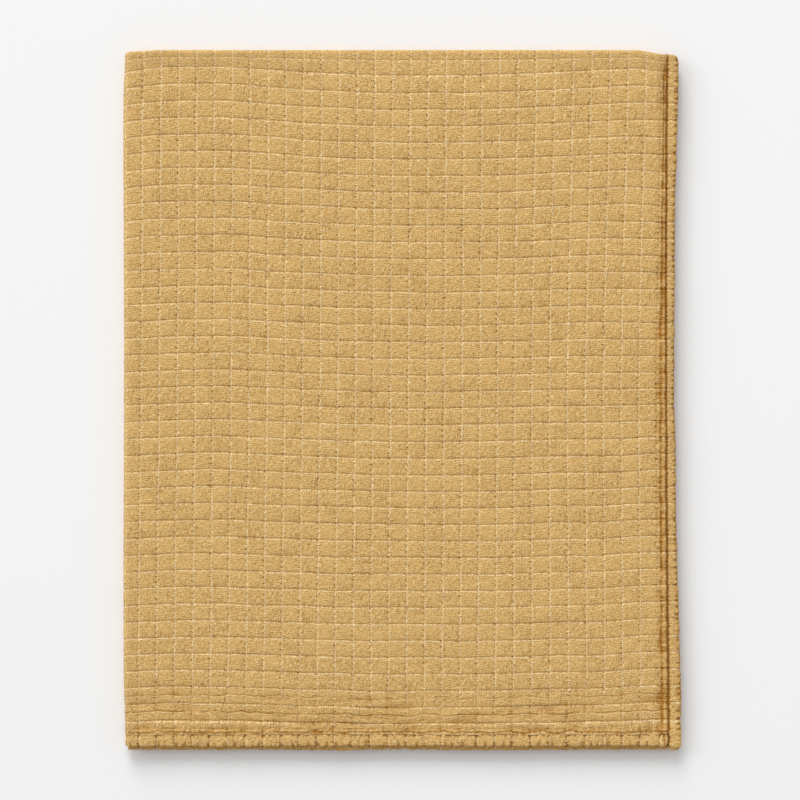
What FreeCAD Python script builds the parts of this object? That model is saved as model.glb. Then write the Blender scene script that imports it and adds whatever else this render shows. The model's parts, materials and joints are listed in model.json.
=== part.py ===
import FreeCAD, Part
import os
from FreeCAD import Vector

# Folded throw: one crinkled double-gauze cotton cloth, 1220 x 1524 mm, folded in quarters.
# It is folded end to end first (end folds at +Y) and then side to side (side folds at -X),
# so it lies as four layers, from the floor up: bottom panel, lower inner panel, upper inner
# panel, top panel. The four side hems lie together at +X and the four end hems at -Y.
# The two upper layers open like a book cover about the outer line of the side fold.
# Frame: +Z up, origin on the floor under the middle of the stack, millimetres.

# ---- driving dimensions -------------------------------------------------------------------
FOLDED_WIDTH = 610.0        # along X, half of the throw's width
FOLDED_LENGTH = 766.0       # along Y, half of the throw's length and the stagger of the ends
END_STAGGER = 4.0           # the inner layers' end hems show this far past the outer ones
PLY = 2.1                   # one gauze ply with its crinkle
PLY_COUNT = 2               # a face ply and a back ply, woven together along a grid
LAYER_GAP = 0.3             # air between two layers
HEM_WIDTH = 12.6            # half-inch hem, from its stitch line to its folded edge
STITCH_WIDTH = 1.0          # the groove that a row of stitches pulls into the cloth
STITCH_INSET = 0.5          # how deep the row lies under either face
CORNER_AT_FOLDS = 6.0       # plan radius where the side fold meets the end fold
CORNER_AT_FOLDED_HEM = 14.0 # plan radius where the side hem meets the end fold
CORNER_AT_HEMS = 5.0        # plan radius where two hems meet
CORNER_AT_SIDE_FOLD = 3.0   # plan radius where the side fold meets the end hem
LABEL_SIZE = (30.0, 24.0, 0.24)
LABEL_FROM_END = 55.0       # from the end of the bottom panel to the near edge of the label

# ---- worked out from them -----------------------------------------------------------------
LAYER = PLY * PLY_COUNT
HALF_HEIGHT = 2 * LAYER + LAYER_GAP
MID_Z = HALF_HEIGHT + LAYER_GAP / 2
FULL_HEIGHT = 2 * MID_Z
X_FOLD = -FOLDED_WIDTH / 2
X_HEM = FOLDED_WIDTH / 2
Y_END = -FOLDED_LENGTH / 2
Y_FOLD = FOLDED_LENGTH / 2
X_BEND = X_FOLD + MID_Z     # centre line of both side folds, at mid height
Y_BEND = Y_FOLD - HALF_HEIGHT / 2
X_STITCH = X_HEM - HEM_WIDTH - STITCH_WIDTH
BIG = 2 * max(FOLDED_WIDTH, FOLDED_LENGTH)


def block(x, y, z):
    """A box from three (low, high) pairs."""
    size = [high - low for low, high in (x, y, z)]
    return Part.makeBox(*size, Vector(x[0], y[0], z[0]))


def plan_outline(y_end):
    """The upright prism that gives a layer its rounded corners, with its end at y_end."""
    prism = block((X_FOLD, X_HEM), (y_end, Y_FOLD), (-1, FULL_HEIGHT + 1))
    radius_at = {
        (X_FOLD, Y_FOLD): CORNER_AT_FOLDS,
        (X_HEM, Y_FOLD): CORNER_AT_FOLDED_HEM,
        (X_HEM, y_end): CORNER_AT_HEMS,
        (X_FOLD, y_end): CORNER_AT_SIDE_FOLD,
    }
    for (x, y), radius in radius_at.items():
        upright = [
            edge for edge in prism.Edges
            if all(abs(v.X - x) < 1e-6 and abs(v.Y - y) < 1e-6 for v in edge.Vertexes)
        ]
        prism = prism.makeFillet(radius, upright)
    return prism


def tube_along_y(outer, inner, y):
    """A thick-walled tube about the side folds' centre line."""
    start, along = Vector(X_BEND, y[0], MID_Z), Vector(0, 1, 0)
    wall = Part.makeCylinder(outer, y[1] - y[0], start, along)
    return wall.cut(Part.makeCylinder(inner, y[1] - y[0], start, along))


def side_fold(z_low, y):
    """The part of a side fold that belongs to the lower half: a quarter of a tube."""
    outer = MID_Z - z_low
    quarter = block((X_FOLD - 1, X_BEND), y, (z_low - 1, HALF_HEIGHT))
    return tube_along_y(outer, outer - LAYER, y).common(quarter)


def end_fold():
    """The U that joins the bottom panel to the lower inner one, shaped to the side fold."""
    start, along = Vector(X_FOLD, Y_BEND, HALF_HEIGHT / 2), Vector(1, 0, 0)
    bend = Part.makeCylinder(HALF_HEIGHT / 2, FOLDED_WIDTH, start, along)
    bend = bend.cut(Part.makeCylinder(LAYER_GAP / 2, FOLDED_WIDTH, start, along))
    bend = bend.common(block((X_FOLD, X_HEM), (Y_BEND, Y_FOLD), (0, HALF_HEIGHT)))
    y = (Y_BEND - 1, Y_FOLD + 1)
    beside_side_fold = block((X_FOLD, X_BEND), y, (-1, HALF_HEIGHT))
    rounding = tube_along_y(BIG, MID_Z, y).common(beside_side_fold)
    return bend.cut(rounding)


def hem(x, y, z_low, round_at):
    """A turned and stitched edge: a flat band whose outer edge is a full round."""
    radius = LAYER / 2
    z_mid = z_low + radius
    if round_at == "x":
        band = block((x[0], x[1] - radius), y, (z_low, z_low + LAYER))
        start, along, length = Vector(x[1] - radius, y[0], z_mid), Vector(0, 1, 0), y[1] - y[0]
    else:
        band = block(x, (y[0] + radius, y[1]), (z_low, z_low + LAYER))
        start, along, length = Vector(x[0], y[0] + radius, z_mid), Vector(1, 0, 0), x[1] - x[0]
    return band.fuse(Part.makeCylinder(radius, length, start, along)).removeSplitter()


def layer_nodes(panel, z_low, y_end, face_down):
    """The sub-parts of one layer of the lower half, by name."""
    outline = plan_outline(y_end)
    y_stitch = y_end + HEM_WIDTH
    y_panel = (y_stitch + STITCH_WIDTH, Y_BEND)
    x_panel = (X_BEND, X_STITCH)
    plies = ("face_ply", "back_ply") if face_down else ("back_ply", "face_ply")
    nodes = {}
    for number, ply in enumerate(plies):
        z = z_low + number * PLY
        nodes[f"{panel}_{ply}"] = block(x_panel, y_panel, (z, z + PLY))
    y_side = (y_end, Y_BEND)
    nodes[f"{panel}_side_hem"] = hem((X_HEM - HEM_WIDTH, X_HEM), y_side, z_low, "x")
    nodes[f"{panel}_end_hem"] = hem((X_BEND, X_STITCH), (y_end, y_stitch), z_low, "y")
    z_row = (z_low + STITCH_INSET, z_low + LAYER - STITCH_INSET)
    rows = [
        block((X_STITCH, X_STITCH + STITCH_WIDTH), y_side, z_row),
        block((X_BEND, X_STITCH), (y_stitch, y_panel[0]), z_row),
    ]
    nodes[f"{panel}_hem_stitching"] = Part.makeCompound(rows)
    return {name: shape.common(outline) for name, shape in nodes.items()}


def lower_half(outer_panel, inner_panel, half):
    """Every sub-part of the two lower layers, by name."""
    y_outer, y_inner = Y_END + END_STAGGER, Y_END
    inner_z = LAYER + LAYER_GAP
    nodes = layer_nodes(outer_panel, 0.0, y_outer, True)
    nodes.update(layer_nodes(inner_panel, inner_z, y_inner, False))
    nodes[f"{half}_outer_side_fold"] = side_fold(0.0, (y_outer, Y_BEND)).common(plan_outline(y_outer))
    nodes[f"{half}_inner_side_fold"] = side_fold(inner_z, (y_inner, Y_BEND)).common(plan_outline(y_inner))
    nodes[f"{half}_end_fold"] = end_fold().common(plan_outline(y_outer))
    return nodes


def care_label():
    """A blank satin label, caught in the bottom panel's side hem and lying against its back."""
    width, depth, thick = LABEL_SIZE
    x = (X_STITCH - width, X_STITCH)
    y_low = Y_END + END_STAGGER + LABEL_FROM_END
    z_low = LAYER + (LAYER_GAP - thick) / 2
    return block(x, (y_low, y_low + depth), (z_low, z_low + thick))


def upside_down(shape):
    """The same sub-part in the upper half, which mirrors the lower one about mid height."""
    return shape.mirror(Vector(0, 0, MID_Z), Vector(0, 0, 1))


def main():
    os.makedirs("parts", exist_ok=True)
    nodes = lower_half("bottom_panel", "lower_inner_panel", "lower")
    for name, shape in lower_half("top_panel", "upper_inner_panel", "upper").items():
        nodes[name] = upside_down(shape)
    nodes["care_label"] = care_label()
    for name, shape in nodes.items():
        if not shape.isValid() or shape.Volume <= 0:
            raise ValueError(f"{name} is not a sound solid")
        shape.exportStep(f"parts/{name}.step")
        print(f"{name:36s} {len(shape.Solids)} solid(s) {shape.Volume / 1000:10.2f} cm3")


main()
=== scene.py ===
import json
import math

import bpy
import numpy as np
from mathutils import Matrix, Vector

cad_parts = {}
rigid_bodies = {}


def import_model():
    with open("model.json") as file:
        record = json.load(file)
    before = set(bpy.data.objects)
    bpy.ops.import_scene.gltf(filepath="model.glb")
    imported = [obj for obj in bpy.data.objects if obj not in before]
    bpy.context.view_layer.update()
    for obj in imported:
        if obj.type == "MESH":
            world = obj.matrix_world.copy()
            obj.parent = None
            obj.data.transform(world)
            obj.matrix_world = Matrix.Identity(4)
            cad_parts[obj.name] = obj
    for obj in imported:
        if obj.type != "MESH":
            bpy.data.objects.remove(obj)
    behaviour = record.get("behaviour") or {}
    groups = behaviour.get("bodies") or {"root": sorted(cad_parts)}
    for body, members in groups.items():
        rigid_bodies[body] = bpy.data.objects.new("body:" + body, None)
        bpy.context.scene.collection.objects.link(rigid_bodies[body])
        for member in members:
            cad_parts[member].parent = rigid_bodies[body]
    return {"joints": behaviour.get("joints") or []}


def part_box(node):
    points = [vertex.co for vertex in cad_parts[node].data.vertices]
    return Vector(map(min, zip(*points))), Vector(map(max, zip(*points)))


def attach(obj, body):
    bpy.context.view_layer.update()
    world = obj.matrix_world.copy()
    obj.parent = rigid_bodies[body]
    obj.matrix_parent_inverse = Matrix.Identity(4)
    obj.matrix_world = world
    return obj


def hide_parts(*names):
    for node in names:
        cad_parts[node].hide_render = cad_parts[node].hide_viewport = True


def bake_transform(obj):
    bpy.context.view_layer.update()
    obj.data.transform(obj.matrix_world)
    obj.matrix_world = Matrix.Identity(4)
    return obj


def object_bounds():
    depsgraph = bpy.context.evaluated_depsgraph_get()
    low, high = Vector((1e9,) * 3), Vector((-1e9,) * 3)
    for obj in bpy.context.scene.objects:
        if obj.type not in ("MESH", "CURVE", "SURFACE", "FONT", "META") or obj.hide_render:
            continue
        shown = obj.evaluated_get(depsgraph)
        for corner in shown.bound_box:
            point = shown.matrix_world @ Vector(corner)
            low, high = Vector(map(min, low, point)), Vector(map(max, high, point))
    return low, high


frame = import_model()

# A crinkled double-gauze cotton throw, folded in quarters. It is one cloth: each of its four
# layers is a quarter of it, with its share of the side fold (at -X) and of the end fold (at +Y).
# A place on a layer is given on its flat cloth, as (across, along): metres from the outer line
# of the side fold, and metres from the outer line of the end fold.

bl_info = {
    "name": "Folded gauze throw",
    "version": (1, 0, 0),
    "blender": (4, 5, 0),
    "location": "3D View > Sidebar > Throw",
    "description": "Makes a crinkled cotton throw, folded in quarters, around its packed frame",
    "category": "Add Mesh",
}

MM = 0.001
CAD_LOW, CAD_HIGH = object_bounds()
JOINT = next(j for j in frame["joints"] if j["name"] == "unfold_side")
LOWER, UPPER = JOINT["parent"], JOINT["child"]

# ---- the folded stack, from the frame ----
FACE_LOW, FACE_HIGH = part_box("top_panel_face_ply")
HEM_LOW, HEM_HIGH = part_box("top_panel_side_hem")
TURN_LOW, TURN_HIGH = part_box("upper_end_fold")
X_FOLD = CAD_LOW.x  # the outer line of the side fold
X_BEND = FACE_LOW.x  # where the side fold turns into the flat
X_STITCH = (FACE_HIGH.x + HEM_LOW.x) / 2  # the side hem's row of stitches
Y_BEND = FACE_HIGH.y  # where the end fold turns into the flat
Z_MID = (CAD_LOW.z + CAD_HIGH.z) / 2  # between the two halves that open
LAYER = HEM_HIGH.z - HEM_LOW.z  # one layer of cloth with its loft
HEM_WIDTH = HEM_HIGH.x - X_STITCH
FOLD_RADIUS = TURN_HIGH.y - Y_BEND  # outside of an end fold
FOLD_HEIGHT = (TURN_LOW.z + TURN_HIGH.z) / 2 - Z_MID  # its middle line over mid height
HALF_GAP = FOLD_RADIUS - LAYER
SIDE_RADIUS = X_BEND - X_FOLD  # outside of the outer side fold
QUARTER = math.pi / 2

# ---- shapes that stay the same whatever the settings ----
CORNER_ROUND = 11 * MM  # how far the folded corner of the side hem is rounded
SIDE_ROW_DEPTH = 1.15 * MM  # how deep each row of stitches lies under the cloth's face
END_ROW_DEPTH = 1.5 * MM
FIRST_LINE_ABOVE = 12.65 * MM  # from the side fold to the first grid line, in the upper layers
FIRST_LINE_BELOW = 18.1 * MM  # and in the lower ones
FIRST_CROSS_OUTER = 15.35 * MM  # from the end fold to the first cross line, in the outer layers
FIRST_CROSS_INNER = 7.5 * MM  # and in the inner ones
SHORT_CELL = 11.2 * MM  # the length of the outer layers' first cell
CLEAR_OF_SIDE_HEM = 6.5 * MM  # no grid line comes nearer to the hems' stitches than this
CLEAR_OF_END_HEM = 14 * MM
TYPICAL_CELL = 18.5 * MM  # a cell of this size gets the counts of points that are given
SIDE_FOLD_STEP = 1.6 * MM  # the longest step between two points round a side fold
END_FOLD_STEP = 0.85 * MM
SUN_HEIGHT = 2.0  # metres from the throw to where the distant light is drawn
SIDE_CREASE = 5.3 * MM  # from each hem's stitches to the crease inside it
END_CREASE = 6.9 * MM
HEM_POINTS = 14  # points over the flat face of a hem
BACK_SPACING = 1.5 * MM  # between the points of the hidden back, round a fold
FLOOR_REACH = 30.0  # from the middle of the floor to its edge, in metres
CAMERA_X = -2.2 * MM  # the camera stands a little left of the middle


# ==== sizes and colours that a user would change ====

def length_setting(name, description, default, low, high):
    """A length, given in millimetres."""
    return bpy.props.FloatProperty(
        name=name, description=description, default=default * MM, min=low * MM, max=high * MM,
        subtype="DISTANCE", unit="LENGTH")


def angle_setting(name, description, default, low, high):
    """An angle, given in degrees."""
    return bpy.props.FloatProperty(
        name=name, description=description, default=math.radians(default),
        min=math.radians(low), max=math.radians(high), subtype="ANGLE")


def strength_setting(name, description, default, high):
    """The strength of a light."""
    return bpy.props.FloatProperty(
        name=name, description=description, default=default, min=0, max=high)


def colour_setting(name, description, default):
    """A colour."""
    return bpy.props.FloatVectorProperty(
        name=name, description=description, subtype="COLOR", size=3, default=default, min=0, max=1)


class ThrowCloth(bpy.types.PropertyGroup):
    """The woven cloth: its grid, its relief and its colours"""
    cell_across: length_setting(
        "Cell width", "Distance between two grid lines across the throw", 19.53, 5, 60)
    cell_along: length_setting(
        "Cell length", "Distance between two grid lines along the throw", 18.31, 5, 60)
    groove: length_setting(
        "Groove depth", "How deep the woven grid lines pull into the cloth", 0.95, 0, 2)
    crinkle: length_setting(
        "Crinkle height", "Height of the crinkles between the grid lines", 0.5, 0, 2)
    sag: length_setting(
        "Line sag", "How far the cross lines hang down in the middle", 9.5, 0, 20)
    thread_pitch: length_setting(
        "Yarn pitch", "Distance between two yarns of the weave", 0.62, 0.2, 3)
    cotton: colour_setting("Cotton", "Colour of the cloth", (0.735, 0.463, 0.163))
    # painted shade: this colour is mixed into the cloth wherever shade falls, in the deep parts of the
    # relief, on groove walls facing away from the light, in tack dents, puckers, creases and along the
    # stitch rows
    shade: colour_setting("Groove colour", "Colour deep in the grooves", (0.38, 0.155, 0.012))
    # painted highlight: this colour is mixed into the cloth where the groove walls and crinkle crests face
    # the light, and on the ridges beside the end hem
    painted_highlight: colour_setting(
        "Raised yarn colour", "Colour of the raised, rubbed yarns", (1.0, 0.77, 0.42))


class ThrowSewing(bpy.types.PropertyGroup):
    """The hems and what is sewn"""
    stitch: length_setting(
        "Stitch length", "Distance from one needle hole to the next", 4.2, 1, 10)
    thread: length_setting("Thread diameter", "Thickness of the sewing thread", 0.7, 0.1, 2)
    gather: length_setting(
        "Gather", "How deep the cloth puckers beside the stitches", 0.75, 0, 2)
    # the thread is coloured much darker than the cloth, so that the sunk stitches also carry the painted
    # shade of the stitch groove and its needle holes
    thread_colour: colour_setting("Thread", "Colour of the sewing thread", (0.31, 0.125, 0.018))
    label_colour: colour_setting("Label", "Colour of the blank care label", (0.86, 0.85, 0.82))


class ThrowStage(bpy.types.PropertyGroup):
    """The floor, the lights and the camera"""
    floor_colour: colour_setting("Floor", "Colour of the floor", (0.88, 0.88, 0.88))
    key: strength_setting(
        "Window light", "Strength of the large light behind the throw", 2.55, 20)
    key_height: angle_setting(
        "Window light height", "Angle of the large light over the floor", 27.5, 0, 90)
    key_turn: angle_setting(
        "Window light turn", "Angle of the large light from straight behind", 12, -180, 180)
    key_distance: length_setting(
        "Window light distance", "Distance of the large light", 15000, 3000, 100000)
    side: strength_setting("Side light", "Strength of the softer light on the left", 0.8, 20)
    side_turn: angle_setting(
        "Side light turn", "Angle of the softer light from straight behind", 64, -180, 180)
    softness: angle_setting(
        "Light size", "Angle that each light fills, seen from the throw", 34, 0, 180)
    fill: strength_setting("Room light", "Strength of the even light from all round", 0.56, 5)
    camera_height: length_setting(
        "Camera height", "Height of the camera over the floor", 3200, 1000, 20000)
    picture_width: length_setting(
        "Picture width", "Width of floor that the camera sees", 875.4, 100, 5000)


# ==== small helpers ====

def ramp(value, start, end):
    """0 before start, 1 after end, and a smooth rise between."""
    t = np.clip((value - start) / (end - start), 0.0, 1.0)
    return t * t * (3 - 2 * t)


def lattice(column, row, seed):
    """A random number from -1 to 1 for each whole (column, row)."""
    mixed = (column * 374761393 + row * 668265263 + seed * 2246822519) & 0xFFFFFFFF
    mixed = ((mixed ^ (mixed >> 13)) * 1274126177) & 0xFFFFFFFF
    mixed = (mixed ^ (mixed >> 16)) & 0xFFFF
    return mixed / 32767.5 - 1.0


def noise(x, y, seed):
    """Smooth noise from about -1 to 1, with a unit grain."""
    x, y = np.broadcast_arrays(np.asarray(x, float), np.asarray(y, float))
    column, row = np.floor(x).astype(np.int64), np.floor(y).astype(np.int64)
    fx, fy = x - column, y - row
    fx, fy = fx * fx * (3 - 2 * fx), fy * fy * (3 - 2 * fy)
    near = lattice(column, row, seed) * (1 - fx) + lattice(column + 1, row, seed) * fx
    far = lattice(column, row + 1, seed) * (1 - fx) + lattice(column + 1, row + 1, seed) * fx
    return near * (1 - fy) + far * fy


def bell(distance, width):
    """1 at no distance, falling away within about a width."""
    return np.exp(-(distance / width) ** 2)


# ==== the stack: how a place on the flat cloth becomes a place in space ====

def slump(x, y):
    """How far the stack is pressed together, as a share of its height. None at the side fold."""
    long_waves = 0.6 * noise(x / 0.085 + 3.1, y / 0.24, 11) + 0.4 * noise(x / 0.06, y / 0.08, 12)
    slope = 0.09 * ramp(y, CAD_HIGH.y - 0.045, CAD_HIGH.y + 0.01)
    return (slope + 0.10 * (0.5 + 0.5 * long_waves)) * ramp(x, X_FOLD + 0.012, X_FOLD + 0.07)


def outline(x, y, layer):
    """The outline's gentle curves: the side hem rolls under in its middle, the corners drop."""
    middle = np.cos(np.clip(np.abs(y - 0.075) / 0.395, 0, 1) * QUARTER)
    wander = 1.2 * MM * (0.5 + 0.5 * noise(y / 0.06, layer.number * 7.3, 21))
    hidden = 0.0 if layer.number == 4 else 1.6 * MM
    to_stitches = ramp(x, 0.10, X_STITCH) ** 2
    in_hem = np.clip((x - X_STITCH) / (CAD_HIGH.x - X_STITCH), 0, 1)
    x_new = x - (2.5 * MM * middle + 0.5 * MM * ramp(y, 0.1, 0.38)) * to_stitches
    x_new = x_new - (2.9 * MM * middle + wander + hidden - 1.8 * MM * (1 - middle)) * in_hem
    x_new = x_new + 1.2 * MM * ramp(y, 0.2, 0.33) * in_hem
    turn = np.clip((y - CAD_HIGH.y + CORNER_ROUND) / CORNER_ROUND, 0, 1)
    x_new = x_new - 0.85 * CORNER_ROUND * (1 - np.sqrt(1 - turn * turn)) * in_hem
    left = 0.35 * MM * (np.cos(2 * math.pi * (y - 0.04) / 0.5) - 1.2)
    left = left + 1.4 * MM * ramp(-y, 0.30, 0.36) + 1.6 * MM * ramp(y, 0.33, 0.383)
    if layer.outer:     # the inner layers keep a straight crease
        x_new = x_new + left * ramp(-x, 0.27, 0.305)
    right_drop = 4.6 * MM * ramp(x, 0.256, 0.289)
    left_drop = 2.2 * MM * ramp(-x, 0.262, 0.303)
    top = ramp(y, CAD_HIGH.y - 0.06, CAD_HIGH.y)
    y_new = y - (right_drop + left_drop - 0.8 * MM) * top
    bottom = ramp(-y, -CAD_LOW.y - 0.05, -CAD_LOW.y)
    y_new = y_new - (1.5 * MM - 0.6 * MM * noise(x / 0.07, layer.number * 3.7, 22)) * bottom
    return x_new, y_new


class Layer:
    """One quarter of the cloth: a panel, with its share of the folds."""

    def __init__(self, number, panel, upper, outer, fine):
        self.number, self.panel, self.outer, self.fine = number, panel, outer, fine
        self.up = 1.0 if upper else -1.0
        self.half = UPPER if upper else LOWER
        self.half_name = "upper" if upper else "lower"
        self.fold_name = "outer" if outer else "inner"
        self.y_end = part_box(panel + "_end_hem")[0].y
        self.y_stitch = (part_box(panel + "_end_hem")[1].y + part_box(panel + "_face_ply")[0].y) / 2
        self.side_arc = SIDE_RADIUS * QUARTER if outer else FOLD_RADIUS
        self.end_arc = FOLD_RADIUS * QUARTER
        self.across_stitch = self.side_arc + X_STITCH - X_BEND
        self.along_stitch = self.end_arc + Y_BEND - self.y_stitch
        self.seed = 100 * number

    def place(self, across, along, depth):
        """The point in space of each flat place, depth metres under the face of the cloth."""
        across, along, depth = np.broadcast_arrays(across, along, depth)
        psi = np.clip((self.end_arc - along) / FOLD_RADIUS, 0, QUARTER)
        run_y = np.maximum(along - self.end_arc, 0)
        run_x = np.maximum(across - self.side_arc, 0)
        if self.outer:
            phi = np.clip((self.side_arc - across) / SIDE_RADIUS, 0, QUARTER)
            radius = FOLD_HEIGHT + (FOLD_RADIUS - depth) * np.cos(psi)
            x = X_BEND - radius * np.sin(phi) + run_x
            height = radius * np.cos(phi)
        else:
            sine = 1 - np.clip(across / self.side_arc, 0, 1)
            cosine = np.sqrt(np.maximum(1 - sine * sine, 0))
            depth = depth * np.maximum(cosine * FOLD_RADIUS - HALF_GAP, 0) / LAYER
            x = X_BEND - (FOLD_HEIGHT - HALF_GAP * np.cos(psi)) * sine + run_x
            height = FOLD_HEIGHT * cosine * (1 - np.cos(psi)) + (HALF_GAP + depth) * np.cos(psi)
        y = Y_BEND + (FOLD_RADIUS - depth) * np.sin(psi) - run_y
        x, y = outline(x, y, self)
        z = (Z_MID + self.up * height) * (1 - slump(x, y))
        return np.stack([x, y, z], axis=-1)

    def drawn(self, across, along, cloth):
        """Moves places on the flat cloth with its threads, which sag and drift a little."""
        x = across - self.side_arc + X_BEND
        down = along - self.end_arc
        share = np.clip(down / (self.along_stitch - self.end_arc), 0, 1)
        middle = np.cos(np.clip(np.abs(x - 0.031) / 0.23, 0, 1) * QUARTER)
        left = np.clip((0.05 - (x - X_FOLD)) / 0.05, 0, 1) ** 2
        right = ramp(x, 0.22, X_STITCH)
        near_left = 1.7 * ramp(-x, 0.2, 0.27) * ramp(down, 0.14, 0.3) * (1 - ramp(down, 0.6, 0.7))
        sag = cloth.sag * (1 - 0.55 * share) * middle + MM * (
            (5.0 - 3.0 * ramp(down, 0.12, 0.26)) * left + near_left
            - 1.2 * bell(x + 0.18, 0.08) * (1 - ramp(down, 0.15, 0.3))
            + 2.6 * right * np.sin(share * 1.9 * math.pi)
            + 1.2 * right * (1 - ramp(down, 0.1, 0.25))
            + 2.8 * ramp(x, 0.16, 0.26) * bell(down - 0.38, 0.2)
            + 0.7 * noise(x / 0.035, along / 0.05, 31 + self.seed))
        fade = ramp(along, 0, 0.028) * ramp(self.along_stitch - along, 0, 0.022)
        drift = MM * (
            5.0 * ramp(x, 0.11, 0.262) * (1 - 0.5 * share) - 5.4 * share
            - 3.6 * bell(down - 0.34, 0.17) * ramp(x, 0.08, 0.2)
            + 1.4 * bell(x + 0.17, 0.11) * bell(down - 0.33, 0.24)
            + 0.5 * noise(x / 0.05, along / 0.04, 32 + self.seed))
        drift_fade = ramp(across, 0, 0.028) * ramp(self.across_stitch - across, 0, 0.016)
        return across + drift * drift_fade, along + sag * fade


LAYERS = [
    Layer(1, "bottom_panel", False, True, False),
    Layer(2, "lower_inner_panel", False, False, False),
    Layer(3, "upper_inner_panel", True, False, False),
    Layer(4, "top_panel", True, True, True),
]


class Grid:
    """The grid lines of one layer, and the rows of points that a mesh needs to follow them."""

    def __init__(self, layer, cloth):
        first_x = FIRST_LINE_ABOVE if layer.up > 0 else FIRST_LINE_BELOW
        first_y = FIRST_CROSS_OUTER if layer.outer else FIRST_CROSS_INNER
        last_x, last_y = layer.across_stitch - CLEAR_OF_SIDE_HEM, layer.along_stitch - CLEAR_OF_END_HEM
        self.across = self.lines(layer.side_arc + first_x, cloth.cell_across, last_x)
        self.along = self.lines(layer.end_arc + first_y, cloth.cell_along, last_y)
        if layer.outer:
            self.along[0] = self.along[1] - SHORT_CELL
        self.step_across = layer.across_stitch - SIDE_CREASE
        self.step_along = layer.along_stitch - END_CREASE

    @staticmethod
    def lines(start, pitch, last):
        """Places of the lines, from just past the fold to the last one before the hem."""
        while start - pitch > 2.5 * MM:
            start -= pitch
        return [start + pitch * i for i in range(int((last - start) / pitch) + 1)]

    @staticmethod
    def samples(lines, end, near, per_cell, tight, arc):
        """Rows that crowd at each line, with extra ones round the fold, from 0 to end."""
        marks = [0.0] + list(lines) + [end]
        rows = []
        for low, high in zip(marks[:-1], marks[1:]):
            size = high - low
            beside = [d for d in near if d < 0.3 * size]
            inner_low, inner_high = beside[-1] if beside else 0, size - (beside[-1] if beside else 0)
            count = max(1, round(per_cell * size / TYPICAL_CELL))
            middle = [inner_low + (inner_high - inner_low) * (i + 1) / (count + 1) for i in range(count)]
            rows += [low] + [low + d for d in beside + middle] + [high - d for d in reversed(beside)]
        rows.append(end)
        full = [rows[0]]
        for row in rows[1:]:
            limit = tight if full[-1] < arc else 1.0
            parts = max(1, math.ceil((row - full[-1]) / limit))
            full += [full[-1] + (row - full[-1]) * (i + 1) / parts for i in range(parts)]
        return np.array(full)


def nearest(places, lines):
    """Signed distance to the nearest line, and that line's number."""
    lines = np.asarray(lines)
    number = np.clip(np.searchsorted(lines, places), 1, len(lines) - 1)
    number = number - (places - lines[number - 1] < lines[number] - places)
    return places - lines[number], number


def cell_units(places, lines, end):
    """Places counted in cells, so that a pattern repeats from line to line."""
    marks = np.concatenate([[lines[0] - (lines[1] - lines[0])], lines, [end + (lines[1] - lines[0])]])
    return np.interp(places, marks, np.arange(len(marks)) - 1.0)


def hem_lines(layer, grid, u, v):
    """How far each place is from the side hem's stitches, from the end hem's stitches, and from
    the crease inside each hem, which wanders a little."""
    beside = grid.step_across - u + 1.4 * MM * (1 - 2 * v / layer.along_stitch)
    beside = beside + 1.0 * MM * noise(v / 0.018, 7.5, layer.seed + 7)
    above = grid.step_along - v + 1.0 * MM * noise(u / 0.018, 7.5, layer.seed + 8)
    return layer.across_stitch - u, layer.along_stitch - v, beside, above


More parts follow.
